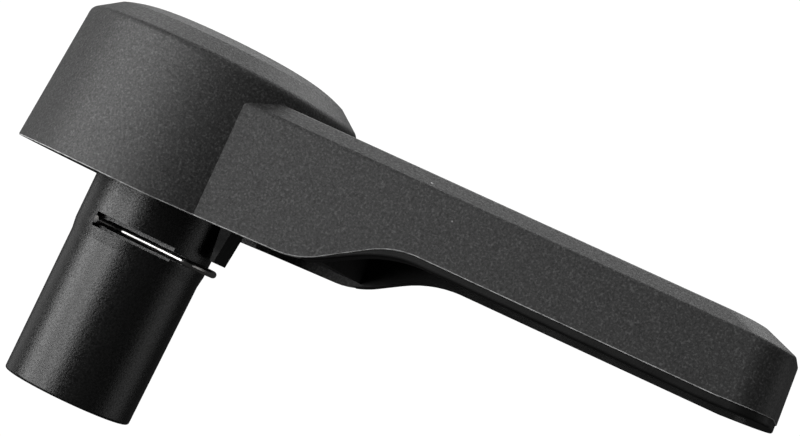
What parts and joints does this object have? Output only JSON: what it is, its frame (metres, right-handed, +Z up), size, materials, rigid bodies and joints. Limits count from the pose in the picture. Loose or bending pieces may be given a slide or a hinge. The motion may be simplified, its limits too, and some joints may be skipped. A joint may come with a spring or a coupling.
{
  "type": "winch handle",
  "caption": "Moulded lever handle: round hub with a tapering hollow arm, a tubular drive sleeve under the hub and a sprung wire clip that locks it on a spindle.",
  "frame": {"origin": "centre of the drive sleeve's mouth", "axes": "+Z up the drive axis into the hub, +X along the arm to its tip, XZ is the plane of symmetry"},
  "size_m": [0.1258, 0.0496, 0.0613],
  "materials": {
    "shell_plastic": "fine moulded texture, dark grey",
    "frame_plastic": "smooth moulded, near black",
    "sleeve_plastic": "satin black with a fine grain",
    "bush_steel": "sintered steel",
    "clip_steel": "bright drawn spring wire",
    "screw_steel": "zinc-plated, dull"
  },
  "bodies": {
    "handle": {"outer_shell": "shell_plastic", "inner_frame": "frame_plastic", "drive_sleeve": "sleeve_plastic", "drive_bush": "bush_steel", "flange_screws": "screw_steel", "cover_screws": "screw_steel"},
    "clip": {"retaining_clip": "clip_steel"}
  },
  "joints": [
    {"name": "clip_slide", "type": "slide", "parent": "handle", "child": "clip", "axis": [1, 0, 0], "range_m": [0, 0.012]}
  ]
}
